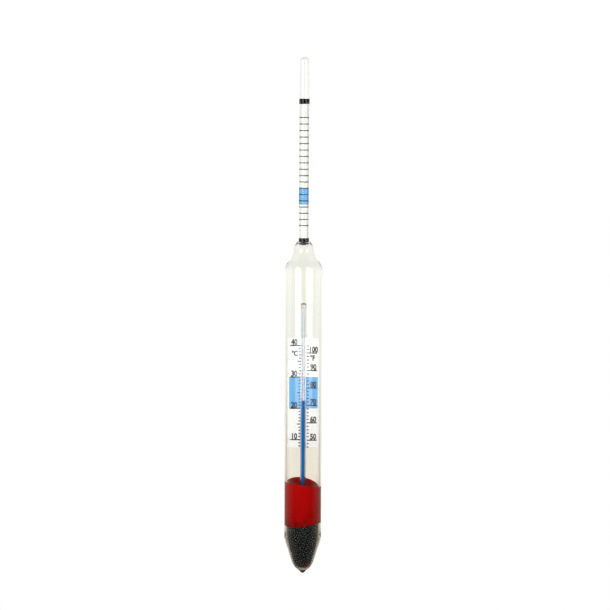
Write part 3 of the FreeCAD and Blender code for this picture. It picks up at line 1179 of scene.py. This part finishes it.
class HYDROMETER_OT_studio(bpy.types.Operator):
    """Sets the floor, the windows, the softbox, the pale surroundings and the camera"""

    bl_idname = "hydrometer.studio"
    bl_label = "Studio"

    def execute(self, context):
        self.floor()
        self.window("left_window", 9, 58)
        self.window("right_window", -22, -66)
        self.softbox()
        self.surroundings(context)
        self.camera(context)
        context.scene.view_settings.view_transform = "Standard"
        context.scene.cycles.max_bounces = 32
        context.scene.cycles.transmission_bounces = 32
        context.scene.cycles.glossy_bounces = 12
        return {"FINISHED"}

    def floor(self):
        select_only()
        bpy.ops.mesh.primitive_plane_add(size=6, location=(0, 0, -0.0002))
        floor = bpy.context.object
        floor.name = "studio_floor"
        floor.data.materials.append(glowing_material("white_studio_floor")[0])
        floor.visible_diffuse = floor.visible_glossy = False
        floor.visible_transmission = floor.visible_shadow = False

    def window(self, name, near, far):
        """A tall window that the glass mirrors, between two bearings left of the camera."""
        distance, height = WINDOW_DISTANCE, WINDOW_HEIGHT
        bearing = math.radians((near + far) / 2)
        width = 2 * distance * math.tan(math.radians(abs(far - near) / 2))
        select_only()
        bpy.ops.mesh.primitive_plane_add(size=1, rotation=(math.pi / 2, 0, 0))
        pane = bpy.context.object
        pane.name = name
        pane.scale = (width, height, 1)
        bpy.ops.object.transform_apply(location=False, rotation=True, scale=True)
        pane.location = (-distance * math.sin(bearing), -distance * math.cos(bearing), height / 2)
        pane.rotation_euler = (0, 0, -bearing)
        material, tree, glow = glowing_material(name)
        way = add_node(tree, "ShaderNodeTexCoord").outputs["Object"]
        fade = mapped(tree, split(tree, way, "Z"), 0.004 - height / 2, 0.03 - height / 2,
                      WINDOW_LOW, WINDOW_HIGH)
        aside = maths(tree, "ABSOLUTE", split(tree, way, "X"))
        soft = mapped(tree, aside, 0.3 * width, 0.5 * width, 1.0, 0.0)
        tree.links.new(maths(tree, "MULTIPLY", fade, soft), glow.inputs["Strength"])
        pane.data.materials.append(material)
        pane.visible_camera = pane.visible_diffuse = pane.visible_shadow = False

    def softbox(self):
        """One wide softbox in front, a little to the left."""
        light = bpy.data.lights.new("softbox", "AREA")
        light.shape = "RECTANGLE"
        light.size, light.size_y = 1.1, 0.5
        light.energy = SOFTBOX_ENERGY
        obj = bpy.data.objects.new("softbox", light)
        bpy.context.scene.collection.objects.link(obj)
        obj.location = SOFTBOX_PLACE
        obj.rotation_euler = (SOFTBOX_PLACE - SOFTBOX_AIM).to_track_quat("Z", "Y").to_euler()
        obj.visible_camera = obj.visible_glossy = obj.visible_transmission = False

    def surroundings(self, context):
        """A pale backdrop behind the piece, cream below, and a dark room in front of it."""
        world = bpy.data.worlds.new("studio_surroundings")
        context.scene.world = world
        world.use_nodes = True
        tree = world.node_tree
        tree.nodes.clear()
        way = add_node(tree, "ShaderNodeTexCoord").outputs["Generated"]
        to_camera = add_node(tree, "ShaderNodeLightPath").outputs["Is Camera Ray"]
        rise = mapped(tree, split(tree, way, "Z"), BACKDROP_BELOW, BACKDROP_ABOVE)
        colour = mixed(tree, to_camera, ramp(tree, rise, BACKDROP_COLOURS), (1, 1, 1))
        # Towards its sides the backdrop is darker low down.
        sides = ramp(tree, rise, BACKDROP_SIDES)
        deep = split(tree, way, "Y")
        across = add_node(tree, "ShaderNodeMix", {3: 1.0}, {
            0: mapped(tree, deep, 0.8, 0.965), 2: sides})
        front = mapped(tree, deep, -0.6, 0.4, 0.02, BACKDROP_STRENGTH)
        lit = maths(tree, "MULTIPLY", across.outputs[0], front)
        back = add_node(tree, "ShaderNodeBackground", None, {
            "Color": colour, "Strength": maths(tree, "MAXIMUM", lit, to_camera)})
        add_node(tree, "ShaderNodeOutputWorld", None, {"Surface": back.outputs["Background"]})

    def camera(self, context):
        data = bpy.data.cameras.new("camera")
        data.lens = CAMERA_LENS
        data.sensor_width = 36
        camera = bpy.data.objects.new("camera", data)
        bpy.context.scene.collection.objects.link(camera)
        place_at = Matrix.Translation((CAMERA_ASIDE, -CAMERA_DISTANCE, CAMERA_HEIGHT))
        tilt = Matrix.Rotation(math.pi / 2 - CAMERA_PITCH, 4, "X")
        roll = Matrix.Rotation(CAMERA_ROLL, 4, "Z")
        camera.matrix_world = place_at @ tilt @ roll
        context.scene.camera = camera


class HYDROMETER_PT_panel(bpy.types.Panel):
    """Lists the hydrometer's pieces, sizes and colours"""

    bl_idname = "HYDROMETER_PT_panel"
    bl_label = "Hydrometer"
    bl_space_type = "VIEW_3D"
    bl_region_type = "UI"
    bl_category = "Hydrometer"

    def draw(self, context):
        for operator in OPERATORS:
            self.layout.operator(operator.bl_idname)
        for group in (context.scene.hydrometer_sizes, context.scene.hydrometer_colours):
            for name in group.bl_rna.properties.keys():
                if name not in ("rna_type", "name"):
                    self.layout.prop(group, name)


OPERATORS = (
    HYDROMETER_OT_float_glass,
    HYDROMETER_OT_stem_glass,
    HYDROMETER_OT_density_scale,
    HYDROMETER_OT_cement_bands,
    HYDROMETER_OT_thermometer,
    HYDROMETER_OT_temperature_card,
    HYDROMETER_OT_wax,
    HYDROMETER_OT_shot,
    HYDROMETER_OT_studio,
)
CLASSES = (HydrometerSizes, HydrometerColours) + OPERATORS + (HYDROMETER_PT_panel,)


def register():
    for cls in CLASSES:
        bpy.utils.register_class(cls)
    bpy.types.Scene.hydrometer_sizes = bpy.props.PointerProperty(type=HydrometerSizes)
    bpy.types.Scene.hydrometer_colours = bpy.props.PointerProperty(type=HydrometerColours)


def unregister():
    del bpy.types.Scene.hydrometer_colours
    del bpy.types.Scene.hydrometer_sizes
    for cls in reversed(CLASSES):
        bpy.utils.unregister_class(cls)


def main():
    register()
    for operator in OPERATORS:
        group, name = operator.bl_idname.split(".")
        getattr(getattr(bpy.ops, group), name)()


if __name__ == "__main__":
    main()
